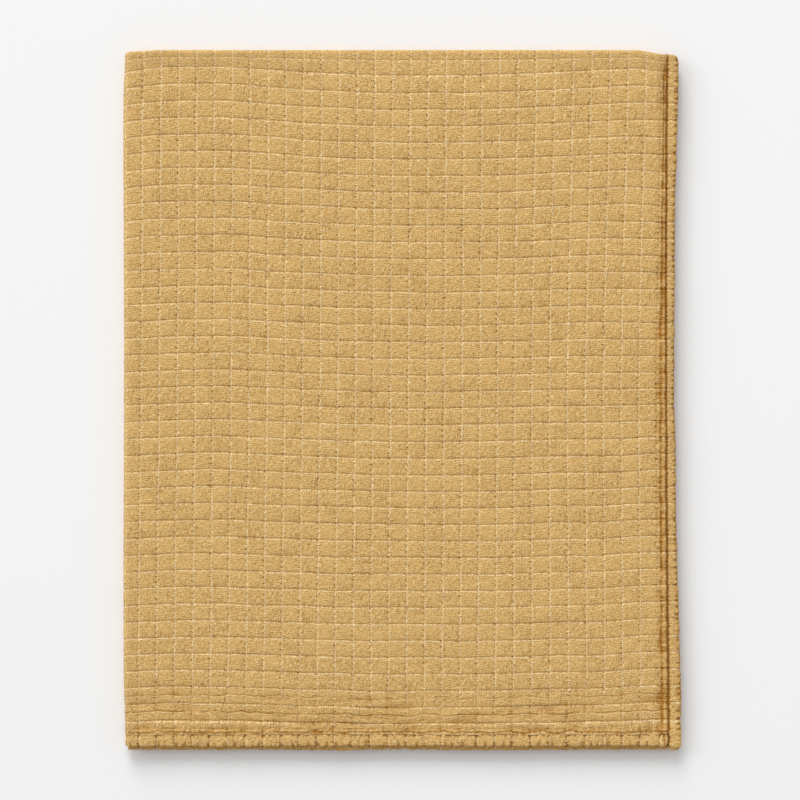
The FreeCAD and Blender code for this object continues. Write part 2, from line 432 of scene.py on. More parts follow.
def relief(layer, grid, across, along, cloth, sewing):
    """Depth of the cloth's face under its highest puffs, at each (along, across) place."""
    du, line_u = nearest(across, grid.across)
    dv, line_v = nearest(along, grid.along)
    dv, line_v = dv[:, None], line_v[:, None]
    u, v = across[None, :], along[:, None]
    seed = layer.seed

    def grain(wide, tall, key):
        return noise(u / wide, v / tall, seed + key)

    # the weft-way lines are crisp, the warp-way ones come and go
    strong_v = 0.80 + 0.26 * noise(u / 0.021, line_v * 3.3, seed + 1)
    strong_u = 0.44 + 0.36 * noise(line_u * 3.7, v / 0.0065, seed + 2)
    strong_u = strong_u + 0.18 * noise(line_u * 5.9, v / 0.031, seed + 3)
    groove_v = strong_v * (0.55 * bell(dv, 0.75 * MM) + 0.36 * bell(dv, 3.2 * MM))
    groove_u = strong_u * (0.56 * bell(du, 0.95 * MM) + 0.34 * bell(du, 3.0 * MM))
    depth = cloth.groove * np.maximum(groove_v, groove_u)
    # crinkles: weft-way ripples, fewer and longer warp-way creases, and soft dents
    from_side, from_end, beside, above = hem_lines(layer, grid, u, v)
    ripple = grain(0.010, 0.0036, 4) * 0.7 + grain(0.018, 0.0061, 5) * 0.5
    ripple = ripple * (1 + 0.9 * bell(from_end, 35 * MM) + 0.7 * bell(from_side, 14 * MM))
    ripple = ripple + grain(0.0043, 0.019, 6) * (0.2 + ramp(grain(0.055, 0.10, 9), -0.1, 0.55))
    dents = grain(0.0075, 0.0085, 10) * 0.4
    depth = depth + cloth.crinkle * (0.85 + 0.6 * (ripple + dents))
    # deeper furrows beside the end hem
    bent = v + 1.5 * MM * noise(u / 0.03, 0.5, seed + 13)
    furrow = ramp(noise(u / 0.045, bent / 0.0037, seed + 11), -0.3, 0.4)
    furrow = furrow * (0.4 + 0.6 * ramp(grain(0.06, 0.02, 12), -0.6, 0.4))
    depth = depth + 0.7 * MM * furrow * ramp(from_end, 0.008, 0.014) * ramp(-from_end, -0.062, -0.034)
    # the turned hem shows as a low step, and its stitches pull the cloth down in puckers
    soft = 0.55 * (1 - 0.5 * ramp(u, 0.2, 0.5))
    for distance, crease, step, run, key, wide, hard in (
        (from_side, beside, SIDE_CREASE, v, 7, 1.15 * MM, 1.0),
        (from_end, above, END_CREASE, u, 8, 0.9 * MM, soft),
    ):
        uneven = 0.6 + 0.4 * noise(run / 0.0048, 0.5, seed + key)
        pucker = ramp(noise(run / 0.0034, distance / 0.014, seed + key + 20), -0.3, 0.6)
        near = bell(distance, 3.6 * MM) + 0.9 * bell(distance - step - 1.5 * MM, 2.8 * MM)
        depth = depth + 1.7 * MM * hard * uneven * bell(crease, wide) + sewing.gather * pucker * near
        depth = depth + 1.5 * MM * hard * hard * bell(distance, 1.4 * MM)
    # cloth pulled over a fold is smoother
    smooth = 0.45 + 0.55 * ramp(u, layer.side_arc * 0.4, layer.side_arc + 0.012)
    smooth = smooth * (0.35 + 0.65 * ramp(v, layer.end_arc * 0.4, layer.end_arc + 0.013))
    return np.clip(depth * smooth, 0.02 * MM, 0.78 * LAYER)


def gathers(layer, grid, across, along):
    """What the cloth's material reads beside its depth, from 0 to 1: how strongly each hem
    gathers the cloth, how much painted shade lies along the hems' stitches and the creases inside the hems,
    and how creased the cloth is."""
    u, v = across[None, :], along[:, None]
    flat = 0 * (u + v)
    from_side, from_end, beside, above = hem_lines(layer, grid, u, v)
    side = bell(from_side - 5.5 * MM, 5 * MM) * (0.6 + 0.4 * noise(v / 0.021, 0.3, layer.seed + 41))
    end = bell(from_end - 4 * MM, 5 * MM) * (0.6 + 0.4 * noise(u / 0.021, 0.6, layer.seed + 42))
    uneven = 0.65 + 0.35 * noise(v / 0.0048, 0.5, layer.seed + 7)
    # painted shade along the side hem's stitches and along the crease inside the hem, and faintly along the
    # end hem's
    row = 0.8 * bell(from_side, 1.5 * MM) + 0.75 * uneven * bell(beside, 1.6 * MM)
    soft = 1 - 0.5 * ramp(u, 0.2, 0.5)
    row = row + soft * (0.10 * bell(from_end, 1.2 * MM) + 0.08 * bell(above, 1.3 * MM))
    return {"GatherSide": side + flat, "GatherEnd": end + flat, "RowShade": np.clip(row, 0, 1),
            "Creased": ramp(-from_end, -0.07, -0.03) + flat}


# ==== meshes ====

def outward(points, faces):
    """The faces, turned round if they point inwards."""
    corners = np.array([(f[0], f[i], f[i + 1]) for f in faces for i in range(1, len(f) - 1)])
    a, b, c = (points[corners[:, i]] for i in range(3))
    volume = float(np.einsum("ij,ij->i", a, np.cross(b, c)).sum())
    return faces if volume > 0 else [f[::-1] for f in faces]


def new_object(name, data):
    """An object of this mesh, lamp or camera, in the scene."""
    made = bpy.data.objects.new(name, data)
    bpy.context.scene.collection.objects.link(made)
    return made


def make_mesh(name, points, faces, uvs, values, flat_faces, material):
    """A mesh object with the Cloth map in cells, and named values that its material reads.
    Its last faces, as many as flat_faces, aren't shaded smooth."""
    order = outward(points, faces)
    mesh = bpy.data.meshes.new(name)
    mesh.from_pydata(points.tolist(), [], order)
    smooth = np.ones(len(order), bool)
    smooth[len(order) - flat_faces:] = False
    mesh.polygons.foreach_set("use_smooth", smooth)
    corners = np.empty(len(mesh.loops), np.int32)
    mesh.loops.foreach_get("vertex_index", corners)
    layer = mesh.uv_layers.new(name="Cloth")
    layer.data.foreach_set("uv", uvs[corners].astype(np.float32).ravel())
    for key, numbers in values.items():
        attribute = mesh.attributes.new(key, "FLOAT", "POINT")
        attribute.data.foreach_set("value", np.asarray(numbers, np.float32))
    mesh.materials.append(material)
    mesh.validate()
    mesh.update()
    return new_object(name, mesh)


def coarse_steps(places, lines, arc, spacing):
    """Which rows the hidden back of the cloth keeps: the lines, and enough round a fold."""
    keep = [0]
    marks = set(np.round(lines, 6).tolist())
    for i in range(1, len(places) - 1):
        at_line = round(float(places[i]), 6) in marks
        in_fold = places[i] < arc * 1.1 and places[i] - places[keep[-1]] > spacing
        if at_line or in_fold:
            keep.append(i)
    return keep + [len(places) - 1]


def quads(numbers, turned=False):
    """The faces between the points of a grid, from the numbers of its points."""
    corners = [numbers[:-1, :-1], numbers[:-1, 1:], numbers[1:, 1:], numbers[1:, :-1]]
    if turned:
        corners = corners[:1] + corners[:0:-1]
    return np.stack(corners, axis=-1).reshape(-1, 4).tolist()


def closed_sheet(face_points, back_points, keep_u, keep_v):
    """The points and faces of a sheet with a fine face, a back that has only some of its rows
    and a rim between them, and how many of the faces come first, on the fine side."""
    rows, columns = face_points.shape[:2]
    face = np.arange(rows * columns).reshape(rows, columns)
    back = rows * columns + np.arange(len(keep_v) * len(keep_u)).reshape(len(keep_v), len(keep_u))
    faces = quads(face)
    shown = len(faces)
    faces += quads(back, turned=True)
    for edge, back_edge, keep, turned in (
        (face[0], back[0], keep_u, True), (face[-1], back[-1], keep_u, False),
        (face[:, 0], back[:, 0], keep_v, False), (face[:, -1], back[:, -1], keep_v, True),
    ):
        for i, (low, high) in enumerate(zip(keep[:-1], keep[1:])):
            run, ends = edge[low:high + 1].tolist(), back_edge[i:i + 2].tolist()
            faces.append(run[::-1] + ends if turned else run + ends[::-1])
    return np.concatenate([face_points.reshape(-1, 3), back_points.reshape(-1, 3)]), faces, shown


def cloth_shell(layer, cloth, sewing, material):
    """One layer as a closed sheet: a finely modelled face, a plain hidden back and a rim."""
    grid = Grid(layer, cloth)
    # points at these distances from each line, and so many across and along inside a cell
    near, inside_u, inside_v = [0.8 * MM, 2.2 * MM], 2, 3
    if layer.fine:
        near, inside_u, inside_v = [0.7 * MM, 2.0 * MM], 2, 5
    marks_u, marks_v = grid.across + [grid.step_across], grid.along + [grid.step_along]
    across = grid.samples(marks_u, layer.across_stitch, near, inside_u, SIDE_FOLD_STEP, layer.side_arc)
    along = grid.samples(marks_v, layer.along_stitch, near, inside_v, END_FOLD_STEP, layer.end_arc)
    depth = relief(layer, grid, across, along, cloth, sewing)
    drawn_u, drawn_v = layer.drawn(*np.meshgrid(across, along), cloth)
    keep_u = coarse_steps(across, marks_u, layer.side_arc, BACK_SPACING)
    keep_v = coarse_steps(along, marks_v, layer.end_arc, BACK_SPACING)
    kept = np.ix_(keep_v, keep_u)
    face_points = layer.place(drawn_u, drawn_v, depth)
    back_points = layer.place(drawn_u[kept], drawn_v[kept], LAYER)
    points, faces, shown = closed_sheet(face_points, back_points, keep_u, keep_v)
    cells = np.stack(np.meshgrid(cell_units(across, grid.across, layer.across_stitch),
                                 cell_units(along, grid.along, layer.along_stitch)), axis=-1)
    uvs = np.concatenate([cells.reshape(-1, 2), cells[kept].reshape(-1, 2)])
    values = {"Depth": depth / MM, **gathers(layer, grid, across, along)}
    hidden = len(keep_u) * len(keep_v)
    for key, value in values.items():
        values[key] = np.append(value, np.full(hidden, 1.0 if key == "Depth" else 0.0))
    return make_mesh(layer.panel, points, faces, uvs, values, len(faces) - shown, material)


def hem_profile():
    """The closed outline of a turned hem, as (outward from the stitches, depth) pairs."""
    edge = LAYER / 2
    width = HEM_WIDTH - edge
    top = [(p, 0.0) for p in np.linspace(0, width, HEM_POINTS)]
    turn = [QUARTER * (2 * i / 7 - 1) for i in range(1, 7)]
    round_edge = [(width + edge * math.cos(t), edge + edge * math.sin(t)) for t in turn]
    back = [(p, LAYER) for p in np.linspace(width, 0, 3)]
    return np.array(top + round_edge + back)


def notches(run, pitch, seed):
    """Sharp puckers along a hem, from 0 to 1: about one to a pitch, and none alike."""
    number = np.floor(run / pitch).astype(np.int64)
    value = np.zeros(np.shape(run))
    for near in (-1, 0, 1):
        cell = number + near
        place = (cell + 0.5 + 0.32 * lattice(cell, 0 * cell, seed)) * pitch
        weight = 0.62 + 0.38 * lattice(cell, 0 * cell + 1, seed)
        value = np.maximum(value, weight * bell(run - place, min(0.2 * pitch, 1.4 * MM)))
    return value


def hem_shell(name, layer, cloth, sewing, material, side):
    """A turned hem as a closed band: the side hem runs round the end fold, the end hem round
    the side fold. It is gathered by its stitches, and the grid lines cross it."""
    grid = Grid(layer, cloth)
    # dark sets how much painted shade the stitch row gets on each kind of hem
    if side:
        lines, arc = grid.along, layer.end_arc
        stop = layer.end_arc + Y_BEND - layer.y_end + 1.2 * MM * layer.outer
        offset, pitch, tight = layer.across_stitch, cloth.cell_along, 0.75 * MM
        edge_pitch, stitch_pitch, key, hard = 6.3 * MM, 4.9 * MM, layer.seed + 50, 1.0
        corner_reach, narrower, centre, dark = 3.4 * MM, 0.55, 0.46 * HEM_WIDTH, 0.85
    else:
        lines, arc = grid.across, layer.side_arc
        stop = layer.across_stitch - 0.7 * MM
        offset, pitch, tight = layer.along_stitch, cloth.cell_across, 0.9 * MM
        edge_pitch, stitch_pitch, key, hard = 10.5 * MM, 6.6 * MM, layer.seed + 70, 0.3
        corner_reach, narrower, centre, dark = 2.2 * MM, 0.4, 0.3 * HEM_WIDTH, 0.12
    run = np.linspace(0, stop, int(stop / (0.95 * MM)))
    fold_run = np.arange(0, arc, tight)
    run = np.unique(np.concatenate([fold_run, run[run > arc + 0.4 * MM]]))
    p, base = hem_profile().T[:, None, :]
    s = run[:, None]
    dv, number = nearest(run, lines)
    dv, number = dv[:, None], number[:, None]
    share = np.clip(p / HEM_WIDTH, 0, 1)
    bent = s + 1.1 * MM * noise(p / 0.006, s / 0.02, key + 6)
    line = bell(dv, 1.0 * MM) * (0.7 + 0.3 * noise(number * 2.9, p / 0.005, key + 2))
    plain_end = ramp(stop - s, 0.006, 0.024) if side else 1.0
    edge_notch = notches(bent, edge_pitch, key) * ramp(share, 0.42, 0.8) * plain_end
    stitch_notch = notches(bent + 3 * MM, stitch_pitch, key + 1) * (1 - ramp(share, 0.08, 0.36)) * plain_end
    fine = noise(s / 0.0026, p / 0.0065, key + 1)
    swell = noise(s / 0.012, p / 0.02, key + 7)
    dimple = notches(s, sewing.stitch, key + 5)
    crown = bell(p, 1.4 * MM) * (0.9 + 1.5 * dimple) * hard + ramp(share, 0.6, 1.0) * 0.35
    shape = MM * (crown + 0.5 * line + 0.28 * (1 + fine) + 0.25 * (1 + swell))
    shape = shape + sewing.gather * (1.9 * edge_notch + 1.3 * stitch_notch)
    if not side:
        # each grid line that runs off the end pulls a notch right across the hem
        cross = bell(dv + 0.6 * MM * noise(p / 0.004, number * 1.3, key + 8), 1.15 * MM)
        shape = shape + 1.1 * MM * cross * (0.5 + 0.5 * noise(number * 2.3, 0.7, key + 9))
        # the corner is rolled under in a slanting crease
        slant = (stop - 4.2 * MM + 2.6 * MM * share ** 2) - s
        shape = shape + 1.9 * MM * bell(slant, 1.2 * MM)
    on_face = 1 - ramp(base, 0, LAYER * 0.8)
    depth = np.clip(base + shape * on_face, 0.03 * MM, LAYER)
    scallop = 0.55 * MM * (1 + noise(s / 0.011, 0.5, key + 3)) + 1.0 * MM * edge_notch
    scallop = scallop + 0.9 * MM * bell(dv, 2.0 * MM) * (0.55 + 0.45 * noise(number * 1.7, 0.2, key + 4))
    if not side:
        scallop = scallop * 1.25
    out = p - np.clip(scallop, 0, None) * share ** 2
    # the corner at its end is rounded and thinner
    far = stop - s
    corner = np.sqrt(np.clip(1 - (1 - np.clip(far / corner_reach, 0, 1)) ** 2, 0, 1))
    shrink = 1 - narrower * (1 - corner)
    out = centre + (out - centre) * np.where(far < corner_reach, shrink, 1)
    thin = np.where(far < 1.6 * MM, 0.3 + 0.7 * far / (1.6 * MM), 1)
    depth = LAYER / 2 + (depth - LAYER / 2) * thin
    # it runs along with the grid lines of the panel beside it, but not at its end
    edge, follow_grid = 0.1 * MM, ramp(stop - s, 0, 0.03)
    if side:
        _, moved = layer.drawn(np.full_like(out, layer.across_stitch - edge), s + 0 * out, cloth)
        near_u, near_v = offset + out, s + (moved - s) * follow_grid
    else:
        moved, _ = layer.drawn(s + 0 * out, np.full_like(out, layer.along_stitch - edge), cloth)
        near_u, near_v = s + (moved - s) * follow_grid, offset + out
    points = layer.place(near_u, near_v, depth)
    number = np.arange(out.size).reshape(out.shape)
    faces = quads(np.concatenate([number, number[:, :1]], axis=1), turned=True)
    faces += [number[0].tolist(), number[-1][::-1].tolist()]
    cells_run = cell_units(run, np.array(lines), stop)[:, None] + 0 * out
    cells_out = 0.25 + out / pitch
    order = (cells_out, cells_run) if side else (cells_run, cells_out)
    uvs = np.stack(order, axis=-1).reshape(-1, 2)
    # painted shade: the depth handed to the material is increased in the notches at the hem's edge, beyond
    # the shape's own depth, and the stitch row and the rolled-under edge of the hem are darkened, where the
    # hem turns down into shade
    deep = shape * on_face + 1.3 * MM * edge_notch * share
    row = dark * bell(p, 1.5 * MM) * (0.7 + 0.5 * dimple) * on_face
    rolled_edge_shade = ramp(share, 0.6, 1.0) * (0.35 + 0.65 * edge_notch) * 0.85
    if not side:
        rolled_edge_shade = ramp(share, 0.88, 1.0) * 0.4 if layer.outer else ramp(share, 0.6, 0.8) * 0.62
    values = {"Depth": deep.ravel() / MM, "RowShade": np.clip(row + rolled_edge_shade, 0, 1).ravel()}
    return make_mesh(name, points.reshape(-1, 3), faces, uvs, values, 2, material)


# ==== materials ====

def maths(operation, swapped=False):
    """A method of Number that adds one maths node. Swapped, the other number comes first."""
    def method(self, *others):
        values = (*others, self) if swapped else (self, *others)
        node = self.surface.node("ShaderNodeMath", {"operation": operation}, dict(enumerate(values)))
        return Number(self.surface, node.outputs[0])
    return method


class Number:
    """A number that varies over a surface. Sums of such numbers add the nodes that they need."""
    __add__ = __radd__ = maths("ADD")
    __sub__, __rsub__ = maths("SUBTRACT"), maths("SUBTRACT", swapped=True)
    __mul__ = __rmul__ = maths("MULTIPLY")
    __truediv__ = maths("DIVIDE")
    __abs__ = maths("ABSOLUTE")
    sine, fraction = maths("SINE"), maths("FRACT")
    most, least = maths("MAXIMUM"), maths("MINIMUM")

    def __init__(self, surface, socket):
        self.surface, self.socket = surface, socket

    def rise(self, start, end):
        """0 before start, 1 after end, and a smooth rise between."""
        node = self.surface.node(
            "ShaderNodeMapRange", {"interpolation_type": "SMOOTHSTEP"},
            {"Value": self, "From Min": start, "From Max": end, "To Min": 0.0, "To Max": 1.0})
        return Number(self.surface, node.outputs[0])

    def near(self, start, end):
        """1 within start of 0, and a smooth fall to 0 at end, on both sides."""
        return 1 - abs(self).rise(start, end)


def add_node(tree, kind, settings=None, inputs=None):
    """A node: its settings come first, and then the values or links of its sockets."""
    node = tree.nodes.new(kind)
    for name, value in (settings or {}).items():
        setattr(node, name, value)
    for name, value in (inputs or {}).items():
        value = value.socket if isinstance(value, Number) else value
        if isinstance(value, bpy.types.NodeSocket):
            tree.links.new(value, node.inputs[name])
        else:
            node.inputs[name].default_value = value
    return node


class Surface:
    """A material, and the one way in which its nodes are made."""

    def __init__(self, name):
        self.material = bpy.data.materials.new(name)
        self.material.use_nodes = True
        self.tree = self.material.node_tree
        self.tree.nodes.clear()

    def node(self, kind, settings=None, inputs=None):
        return add_node(self.tree, kind, settings, inputs)

    def parts(self, socket):
        """The three numbers of a place."""
        outputs = self.node("ShaderNodeSeparateXYZ", None, {0: socket}).outputs
        return [Number(self, output) for output in outputs]

    def blend(self, factor, first, second):
        """The first colour where factor is 0, the second where it is 1."""
        colours = {0: factor}
        for place, colour in ((6, first), (7, second)):
            colours[place] = colour if isinstance(colour, bpy.types.NodeSocket) else (*colour, 1.0)
        return self.node("ShaderNodeMix", {"data_type": "RGBA"}, colours).outputs[2]

    def grain(self, x, y, detail=2.0, rough=0.5, key=0.0):
        """Noise from 0 to 1 with a unit grain."""
        place = self.node("ShaderNodeCombineXYZ", None, {"X": x, "Y": y, "Z": key}).outputs[0]
        node = self.node("ShaderNodeTexNoise", {"noise_dimensions": "3D"}, {
            "Vector": place, "Scale": 1.0, "Detail": detail, "Roughness": rough})
        return Number(self, node.outputs[0])

    def finish(self, base, roughness, height, distance, **plain):
        """Joins the pattern to the shader. What is the same all over is set on its own socket."""
        bump = self.node("ShaderNodeBump", None, {"Strength": 1.0, "Distance": distance, "Height": height})
        shader = self.node("ShaderNodeBsdfPrincipled", None, {
            "Base Color": base, "Roughness": roughness, "Normal": bump.outputs[0], **plain})
        self.node("ShaderNodeOutputMaterial", None, {"Surface": shader.outputs[0]})
        return self.material


def gauze(name, cloth):
    """Crinkled cotton gauze: open yarns, with painted highlights on the groove walls that face the light
    and painted shade on the walls and tack dents that face away from it.
    """
    s = Surface(name)
    u, v, _ = s.parts(s.node("ShaderNodeUVMap", {"uv_map": "Cloth"}).outputs[0])
    deep, gather_side, gather_end, row, creased = (
        Number(s, s.node("ShaderNodeAttribute", {"attribute_name": key}).outputs["Fac"])
        for key in ("Depth", "GatherSide", "GatherEnd", "RowShade", "Creased"))
    width, length = cloth.cell_across / MM, cloth.cell_along / MM
    across, along = u * width, v * length

    def grain(wide, tall, key, detail=1.0, rough=0.5):
        """Noise from 0 to 1, with grains of this width and height in millimetres."""
        return s.grain(across / wide, along / tall, detail, rough, key)

    # yarns, wavy and of uneven thickness
    turns = math.pi * MM / cloth.thread_pitch
    wave = grain(5.0, 5.0, 1.0) * 1.6
    warp = abs(((across + wave) * turns).sine()) * (0.3 + grain(0.9, 9.0, 2.0, 2.0, 0.55))
    weft = abs(((along + wave) * turns).sine()) * (0.3 + grain(9.0, 0.9, 3.0, 2.0, 0.55))
    # crinkle that is too fine for the mesh: weft-way streaks, warp-way streaks and a crepe grain
    streak_weft = grain(4.2, 1.3, 4.0, 2.0) - 0.5
    streak_warp = grain(1.3, 4.6, 5.0, 2.0) - 0.5
    crepe = grain(1.4, 1.1, 6.0) - 0.5
    blotch = grain(24.0, 20.0, 7.0, 2.0) - 0.5
    patch = grain(7.0, 6.0, 8.0) - 0.5
    rough_area = grain(16.0, 12.0, 11.0).rise(0.38, 0.62)
    warp_area = grain(30.0, 44.0, 12.0).rise(0.38, 0.58)
    # the grid: signed distances to the nearest lines, which wander a little
    stray = (grain(4.0, 4.0, 9.0) - 0.5) * 1.3
    from_warp = ((u + 0.5).fraction() - 0.5) * width + stray
    from_weft = ((v + 0.5).fraction() - 0.5) * length + stray
    jitter = s.grain(u * 2.3, v * 4.1, 1.0, 0.5, 10.0)
    beats = v * 3.0 + jitter * 0.9
    zigzag = (beats * (2 * math.pi)).sine() * 0.45
    cord_variation = grain(4.5, 4.0, 13.0).rise(0.3, 0.62) * 0.5
    # painted highlight: a lighter line on the groove wall that faces the light, just below each weft-way
    # line and just right of each warp-way line, varying in strength from place to place; the same masks
    # raise the bump a little
    highlit_cord_weft = (from_weft - 0.6).near(0.3, 1.1) * (0.45 + cord_variation + streak_warp * 1.8)
    highlit_cord_warp = (from_warp + zigzag - 0.4).near(0.35, 1.25) * (0.4 + cord_variation + streak_weft * 2.4)
    highlit_cord_warp = highlit_cord_warp * (1 - gather_side.rise(0.1, 0.32)) * (1 - creased * 0.55)
    # soft warp-way creases, dented in the bump and painted darker (painted shade)
    crease = grain(3.6, 14.0, 14.0).rise(0.47, 0.7) * (0.25 + warp_area * 0.75)
    # painted shade: a dark line on the groove wall on the end-fold side of each weft-way line, which faces
    # away from the light, and dark dots and tails in the tack dents on the side-fold side of each warp-way
    # line, away from the light; the same masks dent the bump
    ticks = abs((u * 8.7 + jitter * 1.5).fraction() - 0.5) * 2.0
    groove_shadow = (from_weft + 0.8).near(0.25, 1.05) * (0.42 + ticks.rise(0.15, 0.8) * 0.58)
    groove_shadow = groove_shadow * abs(from_warp - 0.3).rise(0.7, 1.6) * (0.75 + streak_warp * 2.0)
    beat = (beats.fraction() - 0.5) * (length / 3.0)
    tack_shade = (from_warp + 1.0).near(0.35, 1.15) * beat.near(0.4, 1.35) * jitter.rise(0.3, 0.5)
    tack_shade = tack_shade * (1 - creased * 0.5)
    tack_tail_shade = (from_warp + 2.7).near(0.9, 2.6) * beat.near(0.2, 0.85) * jitter.rise(0.4, 0.6)
    # beside the end hem a long crease runs between each two weft-way lines: painted shade in its furrow,
    # and a painted highlight just below it on the side away from the end fold, where its wall faces the
    # light; both also shape the bump
    bend = grain(18.0, 14.0, 15.0) - 0.5
    broken = grain(20.0, 6.0, 16.0).rise(0.3, 0.48) * creased
    from_middle = ((v + bend * 0.32).fraction() - 0.5) * length + stray * 0.4
    furrow = (from_middle + 0.8).near(0.3, 1.25) * broken * (0.8 + streak_warp * 1.6)
    lit_ridge = (from_middle - 0.6).near(0.3, 1.1) * broken
    # puckers beside the hems, across each row of stitches, dented in the bump and painted darker (painted
    # shade)
    side_pucker = ((v * 3.3 + jitter * 1.2 + streak_weft).fraction() - 0.5).near(0.04, 0.22)
    end_pucker = ((u * 3.1 + jitter * 1.2 + streak_warp).fraction() - 0.5).near(0.04, 0.22)
    pucker = gather_side * side_pucker + gather_end * end_pucker * 0.8
    rough = streak_weft * (1.6 + rough_area * 0.3) + streak_warp * (1.7 + warp_area * 0.5) + crepe * 0.7
    height = rough + (warp + weft) * 0.05 + highlit_cord_weft * 0.22 + highlit_cord_warp * 0.26 + lit_ridge * 0.2
    height = height - groove_shadow * 0.3 - tack_shade * 0.35 - tack_tail_shade * 0.2 - pucker * 0.5 - crease * 0.4 - furrow * 0.6
    # painted highlight: the cords, the crests of the fine crinkle and the ridges beside the end hem are
    # coloured lighter
    light = highlit_cord_weft * 0.88 + highlit_cord_warp * 0.76 + rough.rise(0.0, 0.6) * 0.57 + lit_ridge * 0.4
    # painted shade: the deep parts of the relief, the shadowed groove walls, the tack dents, puckers,
    # crinkle valleys, creases and furrows, the creased band beside the end hem and the stitch rows are
    # coloured darker; blotch and patch are the cloth's own uneven tone
    shade = deep.rise(0.5, 2.1) * 0.5 + groove_shadow * 0.52 + tack_shade * 0.62 + tack_tail_shade * 0.3 + pucker * 0.5
    shade = shade + (rough * -1.0).rise(0.0, 0.7) * 0.44 + crease * 0.2 + row * (0.7 + crepe)
    shade = shade + furrow * 0.68
    shade = (shade + blotch * 0.08 + patch * 0.08 + creased * 0.03).most(0.0)
    base = s.blend(light.most(0.0).least(1.0), tuple(cloth.cotton), tuple(cloth.painted_highlight))
    base = s.blend(shade.least(1.0), base, tuple(cloth.shade))
    roughness = (0.9 + crepe * 0.2).least(1.0)
    return s.finish(base, roughness, height, MM, **{
        "Sheen Weight": 0.08, "Sheen Roughness": 0.45, "Specular IOR Level": 0.15})


def spun_thread(name, sewing):
    """Sewing thread: two strands laid round each other."""
    s = Surface(name)
    x, y, z = s.parts(s.node("ShaderNodeTexCoord").outputs["Object"])
    lay = abs(((x + y + z * 1.5) * (math.pi / (0.42 * MM))).sine())
    fuzz = s.grain(x * 2200.0, y * 2200.0, 2.0, 0.6, 1.0)
    colour = tuple(sewing.thread_colour)
    # painted shade: the crevice between the two strands is coloured darker than their crests
    dark = tuple(c * 0.62 for c in colour)
    base = s.blend((lay * 0.6 + fuzz * 0.4).least(1.0), dark, colour)
    return s.finish(base, 0.7 + fuzz * 0.2, lay, 0.12 * MM, **{"Sheen Weight": 0.1})


def satin(name, sewing):
    """Woven satin ribbon with a faint rib."""
    s = Surface(name)
    x, y, _ = s.parts(s.node("ShaderNodeTexCoord").outputs["Object"])
    rib = abs((y * (math.pi / (0.3 * MM))).sine())
    fleck = s.grain(x * 900.0, y * 2400.0, 2.0, 0.5, 2.0)
    colour = tuple(sewing.label_colour)
    base = s.blend(fleck.rise(0.4, 0.7) * 0.5, colour, tuple(c * 0.88 for c in colour))
    return s.finish(base, 0.42 + fleck * 0.15, rib, 0.03 * MM, **{"Sheen Weight": 0.05})


def shared(name, make, *settings):
    """A material that several pieces share, made once."""
    found = bpy.data.materials.get(name)
    return found if found else make(name, *settings)


# ==== riding on the bodies ====

def follow(piece, layer, *nodes):
    """Hides the frame's parts that a piece stands for. A piece of an outer layer moves with its half; a
    piece of an inner layer only has its transform applied.
    """
    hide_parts(*nodes)
    if layer.outer:
        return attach(piece, layer.half)
    if layer.half == UPPER:
        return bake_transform(piece)
    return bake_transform(piece)


# ==== operators ====

class THROW_OT_panels(bpy.types.Operator):
    """Make the four layers of gauze, each with its share of the folds"""
    bl_idname = "throw.panels"
    bl_label = "Layers of gauze"

    def execute(self, context):
        cloth, sewing = context.scene.throw_cloth, context.scene.throw_sewing
        material = shared("crinkled_gauze", gauze, cloth)
        for layer in LAYERS:
            piece = cloth_shell(layer, cloth, sewing, material)
            half = layer.half_name
            follow(piece, layer, f"{layer.panel}_face_ply", f"{layer.panel}_back_ply",
                   f"{half}_{layer.fold_name}_side_fold", f"{half}_end_fold")
        return {"FINISHED"}


class THROW_OT_hems(bpy.types.Operator):
    """Make the turned side hems and end hems"""
    bl_idname = "throw.hems"
    bl_label = "Hems"

    def execute(self, context):
        cloth, sewing = context.scene.throw_cloth, context.scene.throw_sewing
        material = shared("crinkled_gauze", gauze, cloth)
        for layer in LAYERS:
            for kind in ("side", "end"):
                node = f"{layer.panel}_{kind}_hem"
                piece = hem_shell(f"{layer.panel}_turned_{kind}_hem", layer, cloth, sewing,
                                  material, kind == "side")
                follow(piece, layer, node)
        return {"FINISHED"}


def stitch_rows(layer):
    """The two rows of a layer's hem stitching, as points at the bottom of the groove."""
    last = layer.end_arc + Y_BEND - layer.y_end - 2 * MM
    along = np.append(np.arange(0, layer.end_arc, 0.6 * MM), np.arange(layer.end_arc, last, 2.5 * MM))
    last = layer.across_stitch - 4 * MM
    across = np.append(np.arange(0.4 * MM, layer.side_arc, 0.8 * MM),
                       np.arange(layer.side_arc, last, 2.5 * MM))
    return (layer.place(layer.across_stitch, along, SIDE_ROW_DEPTH),
            layer.place(across, layer.along_stitch, END_ROW_DEPTH))


